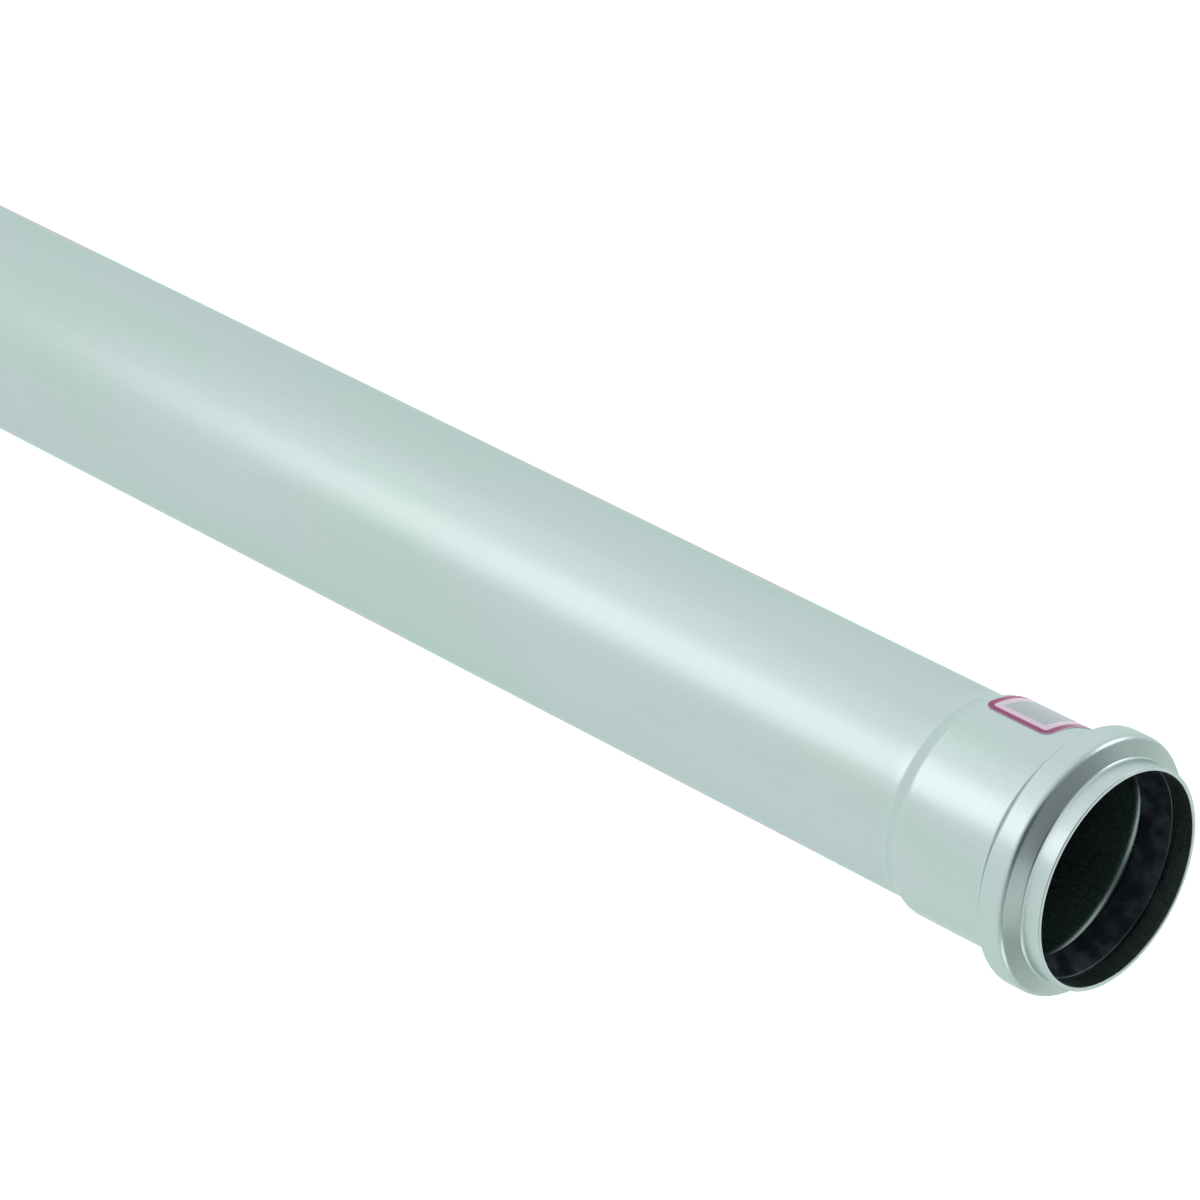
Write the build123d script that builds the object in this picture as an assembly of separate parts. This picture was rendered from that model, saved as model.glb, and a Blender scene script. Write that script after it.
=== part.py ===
from build123d import *
import os
from math import degrees

# Stainless steel drain pipe with a push-fit socket, in millimetres.
# It stands on its spigot end with the socket up. The origin is the centre of the spigot's end face,
# and +Z runs along the pipe towards the mouth.
# The pipe and its seal are each one section, drawn as radius and height and turned about the Z axis.

# Driving dimensions of the tube
tube_outer_radius = 25.0
wall = 1.0
laying_length = 500.0  # spigot end to the foot of the shoulder, where the next spigot stops
spigot_chamfer = 0.3  # both edges of the cut end are broken

# Driving dimensions of the formed socket, from the tube to the mouth, each length along the axis
shoulder_length = 4.0
socket_length = 25.0
back_cone_length = 2.8
crest_length = 6.2
front_cone_length = 2.5
collar_length = 4.8
socket_bore_radius = 25.7
chamber_radius = 29.95  # inside the crest, where the seal lies
collar_bore_radius = 25.45
shoulder_bend = 3.0  # tighter side of the two soft bends of the shoulder
bead_foot_bend = 1.8  # tighter side of the softer bend where the socket rises into the bead
bead_bend = 0.8  # tighter side of the other three bends of the bead
mouth_chamfer = 0.2  # both edges of the mouth are broken

# Driving dimensions of the lip seal
seal_clearance = 0.1  # seal to the walls of its chamber
toe_setback = 0.15  # the toe lies this far outside the collar's bore
lip_radius = 24.0  # relaxed, so that the lip stretches over the next spigot
lip_thickness = 1.3
lip_length = 3.6  # free length of the lip along the axis, from its root to its tip
lip_tip_gap = 1.6  # tip of the lip to the root of the back cone, along the axis
groove_share = 0.25  # floor of the groove behind the lip, as a share of the depth from lip to chamber wall
heel_taper_share = 0.18  # how much of that depth the groove gains towards its open end
seal_bevel = 0.35  # the two edges that seat in the bends of the crest

# Driving dimensions of the label on the socket
label_thickness = 0.12
adhesive_thickness = 0.02
label_width = 18.4  # along the pipe
label_length = 40.0  # round the pipe
label_corner = 2.5
label_gap = 0.8  # label to the shoulder
label_angle = 176.0  # direction of the label's middle, in degrees from +X

# Heights of the profile's corners
shoulder_height = laying_length + shoulder_length
socket_height = shoulder_height + socket_length
crest_low = socket_height + back_cone_length
crest_high = crest_low + crest_length
collar_height = crest_high + front_cone_length
mouth_height = collar_height + collar_length

# Radii of the outside surface
socket_outer_radius = socket_bore_radius + wall
crest_outer_radius = chamber_radius + wall
collar_outer_radius = collar_bore_radius + wall

# Corners of the outside surface, spigot end first
outside = [
    Vector(tube_outer_radius, 0),
    Vector(tube_outer_radius, laying_length),
    Vector(socket_outer_radius, shoulder_height),
    Vector(socket_outer_radius, socket_height),
    Vector(crest_outer_radius, crest_low),
    Vector(crest_outer_radius, crest_high),
    Vector(collar_outer_radius, collar_height),
    Vector(collar_outer_radius, mouth_height),
]

# The six bends between those runs: the radius of the tighter side, and whether that side is the outside
folds = [
    (shoulder_bend, True),
    (shoulder_bend, False),
    (bead_foot_bend, True),
    (bead_bend, False),
    (bead_bend, False),
    (bead_bend, True),
]


def corners_at(depth):
    """Corners of the profile at a depth in the wall, each run moved square to itself."""
    runs = [(b - a).normalized() for a, b in zip(outside, outside[1:])]
    normals = [Vector(-run.Y, run.X) for run in runs]
    first = outside[0] + normals[0] * depth
    last = outside[-1] + normals[-1] * depth
    between = [
        corner + (before + after) * (depth / (1 + before.dot(after)))
        for corner, before, after in zip(outside[1:], normals, normals[1:])
    ]
    return [first, *between, last]


def bends_at(depth):
    """Radii of the six bends at a depth in the wall, so that the wall keeps its thickness round them."""
    return [tight + (depth if tight_outside else wall - depth) for tight, tight_outside in folds]


def on_line(a, b, radius):
    """The point of the line through a and b that lies at a given radius."""
    return a + (b - a) * ((radius - a.X) / (b.X - a.X))


def bevelled(corners, bevels):
    """A closed outline with each corner cut back along its two sides, by a third of the shorter at most."""
    points = []
    for i, (corner, bevel) in enumerate(zip(corners, bevels)):
        back = corners[i - 1] - corner
        ahead = corners[(i + 1) % len(corners)] - corner
        cut = min(bevel, back.length / 3, ahead.length / 3)
        points += [corner + side.normalized() * cut for side in (back, ahead)] if cut else [corner]
    return points


def make_socket_pipe():
    """One tube of constant wall: plain run, shoulder, socket, bead for the seal, and collar."""
    with BuildPart() as pipe:
        with BuildSketch(Plane.XZ):
            with BuildLine():
                skin = FilletPolyline(*outside, radius=bends_at(0))
                bore = FilletPolyline(*corners_at(wall), radius=bends_at(wall))
                Line(skin @ 0, bore @ 0)
                Line(skin @ 1, bore @ 1)
            make_face()
        revolve(axis=Axis.Z)
        chamfer(pipe.edges().group_by(Axis.Z)[0], spigot_chamfer)
        chamfer(pipe.edges().group_by(Axis.Z)[-1], mouth_chamfer)
    return pipe.part


def make_seal_ring():
    """Lip seal: a heel that fills the back of the chamber, and a lip that slopes inwards from the toe."""
    back_root, back_top, front_top, front_root = corners_at(wall + seal_clearance)[3:7]
    toe = on_line(front_root, front_top, collar_bore_radius + toe_setback)

    # The lip runs straight from the toe to its tip, and its back is parallel to its face
    tip = Vector(lip_radius, back_root.Y + lip_tip_gap)
    tip_back = tip + Vector(lip_thickness, 0)
    face_run = toe - tip
    lip_root = tip_back + face_run * (lip_length / face_run.Y)

    # The groove and the heel share what is left of the chamber behind the lip
    depth_behind = back_top.X - lip_root.X
    groove_floor = lip_root + Vector(groove_share * depth_behind, 0)
    heel = on_line(back_root, back_top, groove_floor.X + heel_taper_share * depth_behind)

    section = [toe, front_top, back_top, heel, groove_floor, lip_root, tip_back, tip]
    seated = (front_top, back_top)
    bevels = [seal_bevel if corner in seated else 0 for corner in section]
    with BuildPart() as seal:
        with BuildSketch(Plane.XZ):
            with BuildLine():
                Polyline(*bevelled(section, bevels), close=True)
            make_face()
        revolve(axis=Axis.Z)
    return seal.part


def make_label():
    """Thin adhesive label wrapped round the socket, with rounded corners."""
    middle_radius = socket_outer_radius + adhesive_thickness + label_thickness / 2
    middle_height = shoulder_height + label_gap + label_width / 2
    spread = degrees(label_length / socket_outer_radius)

    # A block deeper than the film carries the outline and its rounded corners
    with BuildPart() as block:
        with BuildSketch(Plane.XZ):
            with Locations((middle_radius, middle_height)):
                Rectangle(label_corner, label_width)
        revolve(axis=Axis.Z, revolution_arc=spread)
        fillet(block.edges().filter_by(GeomType.LINE).sort_by(SortBy.LENGTH)[:4], label_corner)

    # The film is what the block shares with a thin ring, taller than the label
    with BuildPart() as ring:
        with BuildSketch(Plane.XZ):
            with Locations((middle_radius, middle_height)):
                Rectangle(label_thickness, 2 * label_width)
        revolve(axis=Axis.Z)
    film = block.part & ring.part
    return film.rotate(Axis.Z, label_angle - spread / 2)


pieces = {
    "socket_pipe": make_socket_pipe(),
    "seal_ring": make_seal_ring(),
    "label": make_label(),
}

os.makedirs("parts", exist_ok=True)
for name, piece in pieces.items():
    export_step(piece, f"parts/{name}.step")
    top = piece.bounding_box().max.Z
    print(f"{name}: volume {piece.volume:.0f} mm3, top at {top:.2f} mm")
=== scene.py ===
# %% [markdown]
# # A stainless steel drain pipe
# The pipe stands on its plain end, with its push-fit socket up, as the CAD model does. This notebook dresses
# it: a turned steel tube, a rubber lip seal in the socket and a label on it, then light, floor and camera.
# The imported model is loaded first, because every size and place below has to agree with it.

import math

import bmesh
import bpy
from mathutils import Matrix, Vector


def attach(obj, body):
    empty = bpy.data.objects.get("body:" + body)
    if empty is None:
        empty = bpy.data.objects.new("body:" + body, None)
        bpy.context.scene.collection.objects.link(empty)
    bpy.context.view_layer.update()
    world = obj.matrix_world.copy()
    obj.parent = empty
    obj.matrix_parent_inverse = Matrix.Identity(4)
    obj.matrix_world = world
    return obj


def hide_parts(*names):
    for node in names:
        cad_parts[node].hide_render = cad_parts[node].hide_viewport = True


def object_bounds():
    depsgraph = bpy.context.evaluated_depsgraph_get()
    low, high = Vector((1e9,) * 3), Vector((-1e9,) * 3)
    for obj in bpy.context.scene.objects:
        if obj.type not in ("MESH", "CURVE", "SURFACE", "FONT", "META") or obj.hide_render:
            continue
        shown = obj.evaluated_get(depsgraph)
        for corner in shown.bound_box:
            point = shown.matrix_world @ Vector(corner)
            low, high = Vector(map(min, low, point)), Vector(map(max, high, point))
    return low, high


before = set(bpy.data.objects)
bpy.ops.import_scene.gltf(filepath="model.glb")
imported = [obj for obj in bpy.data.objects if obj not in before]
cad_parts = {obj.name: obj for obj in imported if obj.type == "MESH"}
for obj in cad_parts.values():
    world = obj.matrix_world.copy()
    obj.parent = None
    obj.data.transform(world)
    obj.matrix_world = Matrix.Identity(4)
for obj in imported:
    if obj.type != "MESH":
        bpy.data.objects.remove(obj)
cad_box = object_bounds()
MM = 0.001
print("CAD box in mm:", [[round(c / MM, 2) for c in corner] for corner in cad_box])

# %% [markdown]
# ## The camera
# The photograph shows the socket end from above, and its camera lies on its side compared with the standing
# pipe. Its place comes from a fit: where the middle of the mouth is and which way the pipe's axis points, both
# as seen from the camera (x to the right, y down, z ahead), and the focal length in pixels of the photograph.
# The camera stands on the -Y side, so the view, the axis and -Y lie in one plane.

# %% Place the camera
FRAME_PIXELS = 1200
FOCAL_PIXELS = 6332.1
SENSOR_WIDTH = 36.0
mouth_seen = Vector((112.28, 60.64, 1372.47)) * MM
axis_seen = Vector((0.7208, 0.3618, -0.5912)).normalized()

towards_camera = -mouth_seen.normalized()
near_seen = (towards_camera - axis_seen * towards_camera.dot(axis_seen)).normalized()
side_seen = axis_seen.cross(near_seen)
seen_to_part = Matrix((side_seen, -near_seen, axis_seen))
right, down, ahead = (seen_to_part @ Vector(unit) for unit in ((1, 0, 0), (0, 1, 0), (0, 0, 1)))

camera = bpy.data.objects.new("camera", bpy.data.cameras.new("camera"))
camera.data.sensor_width = SENSOR_WIDTH
camera.data.lens = FOCAL_PIXELS / FRAME_PIXELS * SENSOR_WIDTH
camera.data.clip_start, camera.data.clip_end = 0.05, 50
turn = Matrix((right, -down, -ahead)).transposed().to_4x4()
mouth = Vector((0, 0, cad_box[1][2]))
camera.matrix_world = Matrix.Translation(mouth - seen_to_part @ mouth_seen) @ turn
bpy.context.scene.collection.objects.link(camera)
bpy.context.scene.camera = camera
print("camera at", [round(c, 4) for c in camera.matrix_world.translation], "lens", round(camera.data.lens, 1))

# %% [markdown]
# ## A short way to write node trees
# Materials and Geometry Nodes are both graphs. `Signal` stands for one socket and lets sums be written as
# plain Python, and `Graph.add` makes any other node from its type, its settings and what goes into it.

# %% Node tree helpers
class Signal:
    """One output socket, with arithmetic on numbers."""

    def __init__(self, graph, socket):
        self.graph, self.socket = graph, socket

    def output(self, name):
        return Signal(self.graph, self.socket.node.outputs[name])

    def math(self, operation, *others):
        return self.graph.math(operation, self, *others)

    def __add__(self, other):
        return self.math("ADD", other)

    def __sub__(self, other):
        return self.math("SUBTRACT", other)

    def __mul__(self, other):
        return self.math("MULTIPLY", other)

    def __truediv__(self, other):
        return self.math("DIVIDE", other)

    def __radd__(self, other):
        return self.graph.math("ADD", other, self)

    def __rsub__(self, other):
        return self.graph.math("SUBTRACT", other, self)

    def __rmul__(self, other):
        return self.graph.math("MULTIPLY", other, self)


class Graph:
    """Adds nodes to a material's, a world's or a geometry tree."""

    def __init__(self, tree):
        self.tree = tree

    def add(self, kind, settings=None, inputs=None, output=0):
        node = self.tree.nodes.new(kind)
        for name, value in (settings or {}).items():
            if name == "stops":
                while len(node.color_ramp.elements) < len(value):
                    node.color_ramp.elements.new(0.5)
                for stop, (place, colour) in zip(node.color_ramp.elements, value):
                    stop.position, stop.color = place, colour
            else:
                setattr(node, name, value)
        for name, value in (inputs or {}).items():
            if isinstance(value, Signal):
                self.tree.links.new(value.socket, node.inputs[name])
            else:
                node.inputs[name].default_value = value
        return Signal(self, node.outputs[output]) if node.outputs else node

    def math(self, operation, *values):
        return self.add("ShaderNodeMath", {"operation": operation}, dict(enumerate(values)))

    def vector(self, operation, *values, output=0, **named):
        inputs = dict(enumerate(values)) | named
        return self.add("ShaderNodeVectorMath", {"operation": operation}, inputs, output)

    def mix(self, factor, a, b):
        """Blends two colours."""
        settings = {"data_type": "RGBA"}
        return self.add("ShaderNodeMix", settings, {0: factor, 6: a, 7: b}, output=2)

    def band(self, value, low, high):
        """Rises smoothly from 0 at low to 1 at high."""
        inputs = {"Value": value, "From Min": low, "From Max": high}
        return self.add("ShaderNodeMapRange", {"interpolation_type": "SMOOTHSTEP"}, inputs)

    def noise(self, place, scale, detail=2.0, roughness=0.5):
        inputs = {"Vector": place, "Scale": scale, "Detail": detail, "Roughness": roughness}
        return self.add("ShaderNodeTexNoise", None, inputs)


# %% [markdown]
# ## The shape of the tube
# The real pipe is one strip of 1 mm sheet, welded into a tube whose end is then formed: a shoulder opens it into
# a socket, a bead makes room for the seal, and a collar closes in again at the mouth. Its wall stays the same
# all along. So only the outside needs corners. The inside follows at the wall's depth, and each bend gets the
# radius that such a wall would have.

# %% The outline of the tube, in millimetres
WALL = 1.0
TUBE_RADIUS, SOCKET_RADIUS, BEAD_RADIUS, COLLAR_RADIUS = 25.0, 26.7, 30.95, 26.45
SHOULDER_FOOT, SHOULDER_TOP = 500.0, 504.0
BEAD_FOOT, CREST_LOW, CREST_HIGH, BEAD_TOP = 529.0, 531.8, 538.0, 540.5
MOUTH = 545.3
OUTSIDE = [Vector(corner) for corner in (
    (TUBE_RADIUS, 0), (TUBE_RADIUS, SHOULDER_FOOT), (SOCKET_RADIUS, SHOULDER_TOP), (SOCKET_RADIUS, BEAD_FOOT),
    (BEAD_RADIUS, CREST_LOW), (BEAD_RADIUS, CREST_HIGH), (COLLAR_RADIUS, BEAD_TOP), (COLLAR_RADIUS, MOUTH),
)]
SHOULDER_BEND, BEAD_FOOT_BEND, BEAD_BEND = 3.0, 1.8, 0.8
FOLDS = [
    (SHOULDER_BEND, True), (SHOULDER_BEND, False),
    (BEAD_FOOT_BEND, True), (BEAD_BEND, False), (BEAD_BEND, False), (BEAD_BEND, True),
]
SPIGOT_EDGE, MOUTH_EDGE = 0.28, 0.2


def corners_at(depth):
    """Corners of the outline at a depth in the wall, each run moved square to itself."""
    runs = [(b - a).normalized() for a, b in zip(OUTSIDE, OUTSIDE[1:])]
    normals = [Vector((-run.y, run.x)) for run in runs]
    between = [
        corner + (n + m) * (depth / (1 + n.dot(m)))
        for corner, n, m in zip(OUTSIDE[1:], normals, normals[1:])
    ]
    return [OUTSIDE[0] + normals[0] * depth, *between, OUTSIDE[-1] + normals[-1] * depth]


def bends_at(depth):
    return [tight + (depth if tight_outside else WALL - depth) for tight, tight_outside in FOLDS]


skin = list(zip(corners_at(0), [SPIGOT_EDGE, *bends_at(0), MOUTH_EDGE]))
bore = list(zip(corners_at(WALL), [SPIGOT_EDGE, *bends_at(WALL), MOUTH_EDGE]))
tube_outline = skin[::-1] + bore
print("corners in the tube's outline:", len(tube_outline))

# %% [markdown]
# ## A lathe made with Geometry Nodes
# Tube and seal are turned shapes, and a turned shape follows one rule: an outline goes round an axis. The tree
# below rounds the outline's corners, lays a grid with one column for each point of the outline, and wraps that
# grid round Z. The outline, the steps, the weld distance and the material are named inputs, so one tree serves every
# turned piece.
# A long flat run would be shaded wrongly if its only points were the ends of its bends, so the outline gets a
# guard point just past each bend.

# %% Build the lathe
GUARD = 0.12


def guarded(outline):
    """The outline with a guard point on each side of every bend."""
    points = []
    for i, (corner, bend) in enumerate(outline):
        before, after = outline[i - 1][0] - corner, outline[(i + 1) % len(outline)][0] - corner
        cut = bend / math.tan(before.angle(after) / 2) + GUARD
        points.append((corner + before.normalized() * cut, 0.0))
        points.append((corner, bend))
        points.append((corner + after.normalized() * cut, 0.0))
    return points


def make_lathe():
    tree = bpy.data.node_groups.new("lathe", "GeometryNodeTree")
    for name, kind in (
        ("Outline", "NodeSocketGeometry"),
        ("Steps in a bend", "NodeSocketInt"),
        ("Steps round", "NodeSocketInt"),
        ("Weld distance", "NodeSocketFloat"),
        ("Material", "NodeSocketMaterial"),
    ):
        tree.interface.new_socket(name=name, in_out="INPUT", socket_type=kind)
    tree.interface.new_socket(name="Turned piece", in_out="OUTPUT", socket_type="NodeSocketGeometry")

    g = Graph(tree)
    given = g.add("NodeGroupInput")
    bend = g.add("GeometryNodeInputNamedAttribute", {"data_type": "FLOAT"}, {"Name": "bend"})
    line = g.add("GeometryNodeMeshToCurve", None, {"Mesh": given.output("Outline")})
    rounded = g.add("GeometryNodeFilletCurve", {"mode": "POLY"},
                    {"Curve": line, "Count": given.output("Steps in a bend"), "Radius": bend})

    size = g.add("GeometryNodeAttributeDomainSize", {"component": "CURVE"}, {"Geometry": rounded})
    points = size.output("Point Count")
    rows = given.output("Steps round") + 1
    grid = g.add("GeometryNodeMeshGrid", None,
                 {"Size X": 1.0, "Size Y": 1.0, "Vertices X": points + 1, "Vertices Y": rows})

    index = g.add("GeometryNodeInputIndex")
    column = g.math("FLOOR", (index + 0.5) / rows)
    row = index - column * rows
    angle = row / given.output("Steps round") * (2 * math.pi)
    place = g.add("GeometryNodeInputPosition")
    on_line = g.add("GeometryNodeSampleIndex", {"data_type": "FLOAT_VECTOR", "domain": "POINT"},
                    {"Geometry": rounded, "Value": place, "Index": column.math("MODULO", points)})
    parts = g.add("ShaderNodeSeparateXYZ", None, {0: on_line})
    radius, height = parts.output("X"), parts.output("Z")
    wrapped = g.add("ShaderNodeCombineXYZ", None,
                    {"X": radius * angle.math("COSINE"), "Y": radius * angle.math("SINE"), "Z": height})
    turned = g.add("GeometryNodeSetPosition", None, {"Geometry": grid, "Position": wrapped})
    welded = g.add("GeometryNodeMergeByDistance", None,
                   {"Geometry": turned, "Distance": given.output("Weld distance")})
    smooth = g.add("GeometryNodeSetShadeSmooth", None, {"Geometry": welded})
    real = g.add("GeometryNodeRealizeInstances", None, {"Geometry": smooth})
    finished = g.add("GeometryNodeSetMaterial", None,
                     {"Geometry": real, "Material": given.output("Material")})
    g.add("NodeGroupOutput", None, {0: finished})
    return tree


lathe = make_lathe()
print("nodes in the lathe:", len(lathe.nodes))

# %% [markdown]
# The outline goes in as a mesh of bare edges in the XZ plane, with each corner's bend radius kept as an attribute.
# The result is baked into a plain mesh and the modifier is dropped, and the mesh is checked: a closed shape whose
# faces point outwards has a positive volume.

# %% Turn an outline into a piece
def turn_piece(name, outline, steps_in_bend, steps_round, material):
    points = guarded(outline)
    mesh = bpy.data.meshes.new(name + "_outline")
    ring = [(i, (i + 1) % len(points)) for i in range(len(points))]
    mesh.from_pydata([(p.x * MM, 0, p.y * MM) for p, bend in points], ring, [])
    bends = mesh.attributes.new("bend", "FLOAT", "POINT")
    bends.data.foreach_set("value", [bend * MM for p, bend in points])
    piece = bpy.data.objects.new(name, mesh)
    bpy.context.scene.collection.objects.link(piece)

    modifier = piece.modifiers.new("lathe", "NODES")
    modifier.node_group = lathe
    values = {"Steps in a bend": steps_in_bend, "Steps round": steps_round, "Weld distance": 1e-6,
              "Material": material}
    for item in lathe.interface.items_tree:
        if item.name in values:
            modifier[item.identifier] = values[item.name]
    evaluated = piece.evaluated_get(bpy.context.evaluated_depsgraph_get())
    piece.data = bpy.data.meshes.new_from_object(evaluated)
    piece.modifiers.clear()
    bpy.data.meshes.remove(mesh)

    shell = bmesh.new()
    shell.from_mesh(piece.data)
    if shell.calc_volume(signed=True) < 0:
        bmesh.ops.reverse_faces(shell, faces=shell.faces)
    open_edges = sum(not edge.is_manifold for edge in shell.edges)
    volume = shell.calc_volume(signed=True) / MM**3
    shell.to_mesh(piece.data)
    triangles = sum(len(face.verts) - 2 for face in shell.faces)
    shell.free()
    print(f"{name}: {triangles} triangles, {open_edges} open edges, {volume:.0f} mm3")
    return piece


# %% [markdown]
# ## Satin stainless steel
# Drain pipe is pickled, not polished: a pale grey with a faint green cast and a soft, wide highlight. The sheet
# has a very fine grain along the pipe, and the formed end carries fine rings from the tool that pressed it out.
# Both are far too fine to model, so they go into roughness and bump, in millimetres on the object itself.

# %% Make the steel
FORMED_FROM = 496.0


def new_material(name):
    material = bpy.data.materials.new(name)
    material.use_nodes = True
    material.node_tree.nodes.clear()
    g = Graph(material.node_tree)
    metres = g.add("ShaderNodeTexCoord").output("Object")
    return material, g, g.vector("SCALE", metres, Scale=1 / MM)


def finish_material(g, **inputs):
    surface = g.add("ShaderNodeBsdfPrincipled", None, {k.replace("_", " "): v for k, v in inputs.items()})
    g.add("ShaderNodeOutputMaterial", None, {"Surface": surface})


def make_steel():
    material, g, place = new_material("satin_steel")
    parts = g.add("ShaderNodeSeparateXYZ", None, {0: place})
    height = parts.output("Z")
    formed = g.band(height, FORMED_FROM, FORMED_FROM + 4)

    # The grain runs along the pipe, the tool's rings run round it
    grain = g.noise(g.vector("MULTIPLY", place, (1.0, 1.0, 0.03)), 2.6, detail=3.0)
    rings = g.noise(g.vector("MULTIPLY", place, (0.04, 0.04, 1.0)), 3.2, detail=3.0)
    frosting = g.noise(place, 5.0, detail=2.0)
    clouds = g.noise(g.vector("MULTIPLY", place, (1.0, 1.0, 0.35)), 0.035, detail=1.0)

    colour = g.mix(g.band(clouds, 0.35, 0.65), (0.435, 0.55, 0.515, 1), (0.465, 0.55, 0.545, 1))
    colour = g.mix(g.band(grain, 0.2, 0.8) * 0.35, colour, (0.53, 0.63, 0.605, 1))
    roughness = 0.36 - formed * 0.07 + (grain - 0.5) * 0.10 + (rings - 0.5) * formed * 0.10 + (frosting - 0.5) * 0.05
    relief = grain * (1 - formed * 0.7) + rings * formed * 0.8 + frosting * 0.5
    bump = g.add("ShaderNodeBump", None, {"Strength": 0.06, "Distance": 0.02 * MM, "Height": relief})
    finish_material(g, Base_Color=colour, Metallic=1.0, Roughness=roughness, Normal=bump,
                    Specular_Tint=(0.75, 0.82, 0.80, 1))
    return material


steel = make_steel()
pipe = turn_piece("steel_pipe", tube_outline, steps_in_bend=10, steps_round=256, material=steel)

# %% [markdown]
# ## The lip seal
# A black rubber ring sits in the bead. Its heel fills the back of the chamber, and its lip slopes inwards from
# the mouth, so that the next pipe slides over it and is gripped. Only the face and the edge of the lip show. The
# seat follows the chamber's wall at a small clearance, with the same rule that made the tube.

# %% Draw the seal's section
SEAL_CLEARANCE = 0.1
TOE_RADIUS = 25.6
LIP_RADIUS = 24.0
LIP_THICKNESS = 1.3
LIP_LENGTH = 3.6
LIP_TIP_GAP = 1.6
GROOVE_SHARE, HEEL_TAPER_SHARE = 0.25, 0.18
SEAL_ROUNDING, LIP_ROUNDING = 0.4, 0.6


def on_line(a, b, radius):
    return a + (b - a) * ((radius - a.x) / (b.x - a.x))


def seal_outline():
    back_root, back_top, front_top, front_root = corners_at(WALL + SEAL_CLEARANCE)[3:7]
    toe = on_line(front_root, front_top, TOE_RADIUS)
    tip = Vector((LIP_RADIUS, back_root.y + LIP_TIP_GAP))
    tip_back = tip + Vector((LIP_THICKNESS, 0))
    face_run = toe - tip
    lip_root = tip_back + face_run * (LIP_LENGTH / face_run.y)
    depth_behind = back_top.x - lip_root.x
    groove_floor = lip_root + Vector((GROOVE_SHARE * depth_behind, 0))
    heel = on_line(back_root, back_top, groove_floor.x + HEEL_TAPER_SHARE * depth_behind)
    return [
        (toe, SEAL_ROUNDING), (front_top, 0.7), (back_top, 0.7), (heel, SEAL_ROUNDING),
        (groove_floor, 0.25), (lip_root, 0.25), (tip_back, LIP_ROUNDING), (tip, LIP_ROUNDING),
    ]


# %% [markdown]
# Seal rubber is nearly black with a soft shine. Blotches of bloom vary its roughness and relief, and in them the
# base colour turns lighter and bluish, which is a painted sheen.

# %% Make the rubber and turn the seal
def make_rubber():
    material, g, place = new_material("seal_rubber")
    bloom_and_painted_sheen = g.noise(place, 0.22, detail=3.0)
    skin_noise = g.noise(place, 3.5, detail=2.0)
    # Painted sheen: in the bloom's blotches the base colour goes from near-black to a lighter blue-grey.
    colour = g.mix(g.band(bloom_and_painted_sheen, 0.4, 0.7), (0.014, 0.018, 0.023, 1), (0.055, 0.070, 0.088, 1))
    roughness = 0.34 + (bloom_and_painted_sheen - 0.5) * 0.3 + (skin_noise - 0.5) * 0.1
    bump = g.add("ShaderNodeBump", None, {"Strength": 0.15, "Distance": 0.05 * MM, "Height": skin_noise + bloom_and_painted_sheen})
    finish_material(g, Base_Color=colour, Roughness=roughness, Normal=bump)
    return material


rubber = make_rubber()
seal = turn_piece("lip_seal", seal_outline(), steps_in_bend=5, steps_round=256, material=rubber)

# %% [markdown]
# ## The label
# A thin film label is wrapped round the socket, on the side that the photograph shows only at its edge. It is
# left blank: a pale face inside a magenta border. Its mesh is a grid whose columns are shortened near the ends,
# which gives round corners, and it is bent round the socket at its own radius, so it never stretches. The UV map
# holds the flat label in millimetres, so the border can be measured from the label's edge.

# %% Wrap the label
LABEL_WIDTH = 18.4
LABEL_LENGTH = 40.0
LABEL_CORNER = 2.5
LABEL_THICKNESS = 0.12
LABEL_BACK = 26.72
LABEL_MIDDLE_HEIGHT = 514.0
LABEL_MIDDLE_ANGLE = math.radians(176.0)
LABEL_STEPS_ROUND, LABEL_STEPS_UP = 120, 56


def half_length_at(up):
    """Half the label's length at a distance from its middle line: shorter beside the rounded corners."""
    beyond = abs(up) - (LABEL_WIDTH / 2 - LABEL_CORNER)
    cut = LABEL_CORNER - math.sqrt(max(LABEL_CORNER**2 - beyond**2, 0)) if beyond > 0 else 0
    return LABEL_LENGTH / 2 - cut


def make_label_mesh():
    flat, places = [], []
    for j in range(LABEL_STEPS_UP + 1):
        up = -math.cos(math.pi * j / LABEL_STEPS_UP) * LABEL_WIDTH / 2
        for i in range(LABEL_STEPS_ROUND + 1):
            along = (2 * i / LABEL_STEPS_ROUND - 1) * half_length_at(up)
            angle = LABEL_MIDDLE_ANGLE + along / SOCKET_RADIUS
            flat.append((along, up))
            places.append((LABEL_BACK * math.cos(angle) * MM, LABEL_BACK * math.sin(angle) * MM,
                           (LABEL_MIDDLE_HEIGHT + up) * MM))
    row = LABEL_STEPS_ROUND + 1
    faces = [
        (j * row + i, j * row + i + 1, (j + 1) * row + i + 1, (j + 1) * row + i)
        for j in range(LABEL_STEPS_UP) for i in range(LABEL_STEPS_ROUND)
    ]
    mesh = bpy.data.meshes.new("blank_label")
    mesh.from_pydata(places, [], faces)
    uv = mesh.uv_layers.new(name="flat_label")
    for loop in mesh.loops:
        uv.data[loop.index].uv = flat[loop.vertex_index]
    return mesh


label = bpy.data.objects.new("blank_label", make_label_mesh())
bpy.context.scene.collection.objects.link(label)
film = label.modifiers.new("film", "SOLIDIFY")
film.thickness = LABEL_THICKNESS * MM
film.offset = 1
label.data = bpy.data.meshes.new_from_object(label.evaluated_get(bpy.context.evaluated_depsgraph_get()))
label.modifiers.clear()
label.data.shade_smooth()
print("label:", len(label.data.polygons), "faces")

# %% [markdown]
# The border's bands come from one number, the distance to the label's edge: for a rectangle with round corners
# it is the distance to a smaller rectangle, less the corner's radius.

# %% Print the label
BORDER_FROM, BORDER_TO = 0.05, 1.5
INNER_LINE_TO = 3.2


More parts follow.
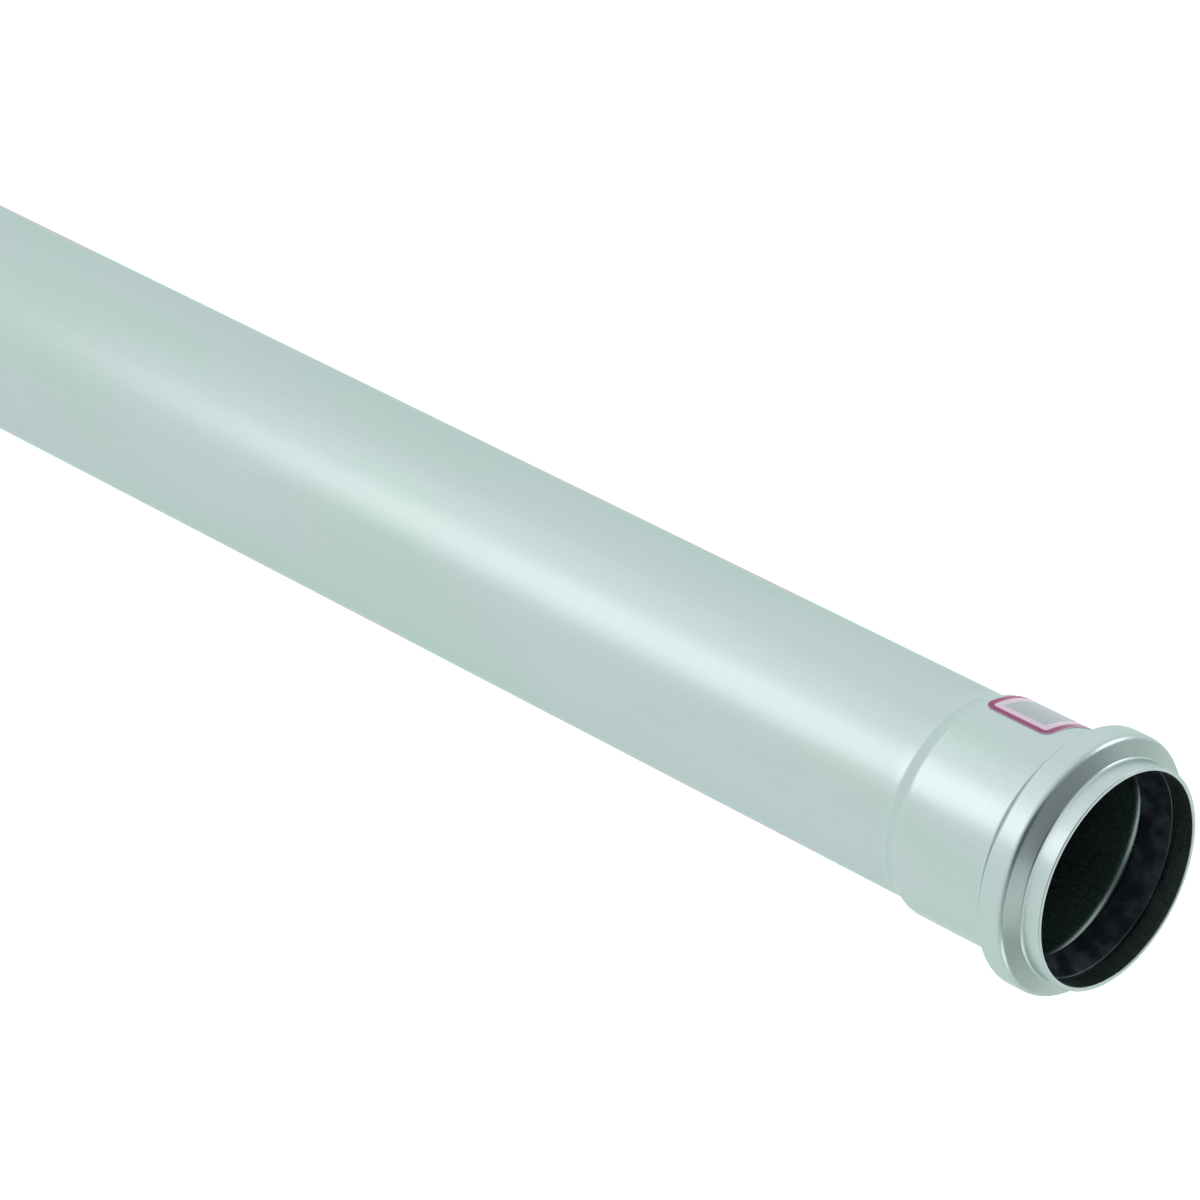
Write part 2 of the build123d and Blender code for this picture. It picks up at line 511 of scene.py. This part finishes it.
def make_label_film():
    material, g, place = new_material("label_film")
    flat = g.add("ShaderNodeSeparateXYZ", None, {0: g.add("ShaderNodeUVMap", {"uv_map": "flat_label"})})
    out_x = (flat.output("X").math("ABSOLUTE") - (LABEL_LENGTH / 2 - LABEL_CORNER))
    out_y = (flat.output("Y").math("ABSOLUTE") - (LABEL_WIDTH / 2 - LABEL_CORNER))
    outside = g.add("ShaderNodeCombineXYZ", None,
                    {"X": out_x.math("MAXIMUM", 0.0), "Y": out_y.math("MAXIMUM", 0.0)})
    inside = out_x.math("MAXIMUM", out_y).math("MINIMUM", 0.0)
    inset = LABEL_CORNER - (g.vector("LENGTH", outside, output="Value") + inside)

    edge = 0.12
    ink = g.band(inset, BORDER_FROM, BORDER_FROM + edge) * (1 - g.band(inset, BORDER_TO, BORDER_TO + edge))
    inner = g.band(inset, INNER_LINE_TO, INNER_LINE_TO + 0.3)
    mottle = g.noise(place, 1.6, detail=2.0)
    face = g.mix(g.band(mottle, 0.3, 0.7), (0.50, 0.57, 0.60, 1), (0.56, 0.63, 0.65, 1))
    colour = g.mix(inner, (0.92, 0.76, 0.90, 1), face)
    colour = g.mix(ink, colour, (0.36, 0.012, 0.15, 1))
    roughness = 0.38 + (mottle - 0.5) * 0.12 - ink * 0.06
    bump = g.add("ShaderNodeBump", None, {"Strength": 0.1, "Distance": 0.02 * MM, "Height": mottle})
    finish_material(g, Base_Color=colour, Roughness=roughness, Normal=bump)
    return material


label.data.materials.append(make_label_film())

# %% [markdown]
# ## Put each piece in place of a CAD node
# Each piece takes the place of one CAD node, which is hidden. Nothing
# moves on this part, so every piece rides on the one body.

# %% Put the pieces on the frame
for piece, node, slot in (
    (pipe, "socket_pipe", "stainless_steel"),
    (seal, "seal_ring", "seal_rubber"),
    (label, "label", "label_film"),
):
    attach(piece, "root")
    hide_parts(node)
print("pieces:", pipe.name, seal.name, label.name)

# %% [markdown]
# ## Floor
# The floor is white paper. Seen by the camera, or mirrored in the steel, it has a glow of its own that lifts it
# to white, and its own shading is added to that, so it keeps the pipe's shadow.

# %% Lay the floor
FLOOR_HALF = 12.0


def make_floor():
    mesh = bpy.data.meshes.new("floor")
    corners = [(-FLOOR_HALF, -FLOOR_HALF, 0), (FLOOR_HALF, -FLOOR_HALF, 0),
               (FLOOR_HALF, FLOOR_HALF, 0), (-FLOOR_HALF, FLOOR_HALF, 0)]
    mesh.from_pydata(corners, [], [(0, 1, 2, 3)])
    floor = bpy.data.objects.new("floor", mesh)
    bpy.context.scene.collection.objects.link(floor)

    material = bpy.data.materials.new("white_paper")
    material.use_nodes = True
    material.node_tree.nodes.clear()
    g = Graph(material.node_tree)
    ray = g.add("ShaderNodeLightPath")
    seen = ray.math("MAXIMUM", ray.output("Is Glossy Ray")).math("MAXIMUM", ray.output("Is Transmission Ray"))
    paper = g.add("ShaderNodeBsdfDiffuse", None, {"Color": (0.8, 0.8, 0.8, 1)})
    glow = g.add("ShaderNodeEmission", None, {"Color": (1, 1, 1, 1), "Strength": 0.68})
    lifted = g.add("ShaderNodeAddShader", None, {0: paper, 1: glow})
    surface = g.add("ShaderNodeMixShader", None, {0: seen, 1: paper, 2: lifted})
    g.add("ShaderNodeOutputMaterial", None, {"Surface": surface})
    mesh.materials.append(material)


make_floor()

# %% [markdown]
# ## Light
# Metal shows what stands round it, so the lamps are placed by what the steel mirrors. The camera looks down on a
# standing pipe, so the line nearest to it mirrors the ground in front: a long soft panel lies there and draws the
# highlight along the pipe. It starts a step away from the foot, because the pipe is duller further down. The
# inside of the mouth mirrors what stands at its two sides, and the sloping front of the bead what hangs overhead.
# The room itself is white at the horizon and darkens upwards, most of all behind the camera.

# %% Light the scene
def soft_panel(name, place, target, size, brightness, tint=(1, 1, 1), shape="RECTANGLE"):
    """A soft panel whose surface has a given brightness, where 1 is white."""
    lamp = bpy.data.lights.new(name, "AREA")
    lamp.shape = shape
    lamp.size, lamp.size_y = size
    lamp.color = tint
    covered = size[0] * size[1] * (math.pi / 4 if shape == "ELLIPSE" else 1)
    lamp.energy = brightness * covered * math.pi
    panel = bpy.data.objects.new(name, lamp)
    panel.location = place
    panel.rotation_euler = (Vector(target) - Vector(place)).to_track_quat("-Z", "Y").to_euler()
    panel.visible_camera = False
    bpy.context.scene.collection.objects.link(panel)


def make_room():
    world = bpy.data.worlds.new("room")
    world.use_nodes = True
    world.node_tree.nodes.clear()
    g = Graph(world.node_tree)
    heading = g.add("ShaderNodeTexCoord")
    up = g.add("ShaderNodeSeparateXYZ", None, {0: heading}).output("Z")
    grey = g.mix(g.band(up, 0.12, 0.35), (1, 1, 1, 1), (0.72, 0.74, 0.74, 1))
    grey = g.mix(g.band(up, 0.35, 0.9), grey, (0.30, 0.32, 0.32, 1))
    front = g.vector("DOT_PRODUCT", heading, Vector((0, -0.75, 0.66)), output="Value")
    grey = g.mix(g.band(front, 0.80, 0.96), grey, (0.10, 0.11, 0.12, 1))
    light = g.add("ShaderNodeBackground", None, {"Color": grey, "Strength": 1.0})
    g.add("ShaderNodeOutputWorld", None, {"Surface": light})
    bpy.context.scene.world = world


make_room()
soft_panel("front_strip", (-0.06, -1.15, 0.01), (-0.06, -1.15, 1), (0.54, 1.6), 0.85, (1, 0.86, 0.92), "ELLIPSE")
soft_panel("left_ground_panel", (-0.42, -0.72, 0.01), (-0.42, -0.72, 1), (0.45, 0.9), 0.25)
soft_panel("left_panel", (-1.2, 0.42, 1.15), (0, 0, 0.545), (0.6, 0.6), 2.5, (0.92, 0.97, 1))
soft_panel("right_panel", (1.2, 0.42, 1.15), (0, 0, 0.545), (0.5, 0.5), 1.5)
soft_panel("back_panel", (0, 1.6, 1.72), (0, 0, 0.545), (1.0, 0.6), 0.8)
soft_panel("right_overhead_panel", (0.55, 0.1, 1.75), (0, 0, 0.545), (0.7, 0.7), 0.6)

# %% Colour
bpy.context.scene.view_settings.view_transform = "Standard"
